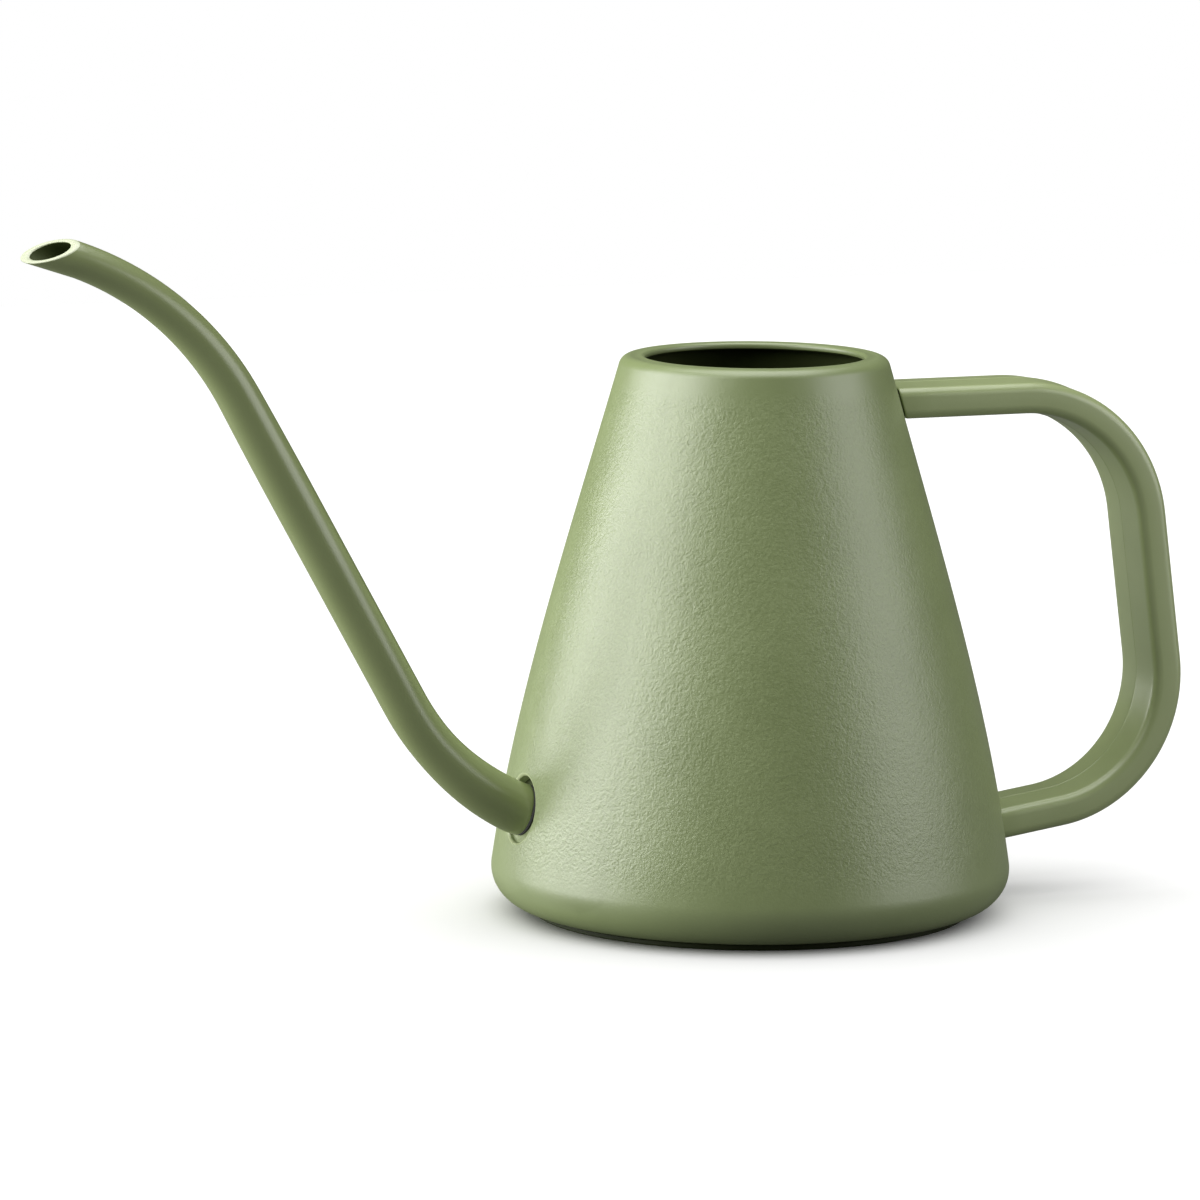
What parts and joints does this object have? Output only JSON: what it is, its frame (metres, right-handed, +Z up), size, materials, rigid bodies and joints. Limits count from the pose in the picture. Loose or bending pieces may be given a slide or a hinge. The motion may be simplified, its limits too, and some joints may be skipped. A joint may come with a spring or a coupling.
{
  "type": "watering can",
  "caption": "Cone-shaped indoor watering can with a long S-curved pull-out spout, open round mouth and a flat-band D handle.",
  "frame": {"origin": "middle of the flat underside of the base plate, on the can's own axis", "axes": "+Z up along the can's axis, +X towards the handle, spout towards -X, the can's middle plane is Y = 0"},
  "size_m": [0.329, 0.1402, 0.1879],
  "materials": {
    "body": "sage green, fine moulded grain on the side, smooth rim and bottom corner",
    "base": "darker green, smooth",
    "spout": "sage green, smooth satin",
    "socket": "green, smooth",
    "seal": "black, matte",
    "handle": "sage green, smooth satin",
    "screws": "plain stainless",
    "washers": "black, matte"
  },
  "bodies": {
    "can": {"body_shell": "body", "base_plate": "base", "spout_socket": "socket", "handle": "handle", "handle_screw_upper": "screws", "handle_screw_lower": "screws", "handle_washer_upper": "washers", "handle_washer_lower": "washers"},
    "spout": {"spout_tube": "spout", "spout_seal": "seal"}
  },
  "joints": [
    {"name": "spout_pull", "type": "slide", "parent": "can", "child": "spout", "axis": [-0.9588, 0, 0.284], "range_m": [0, 0.022]}
  ]
}
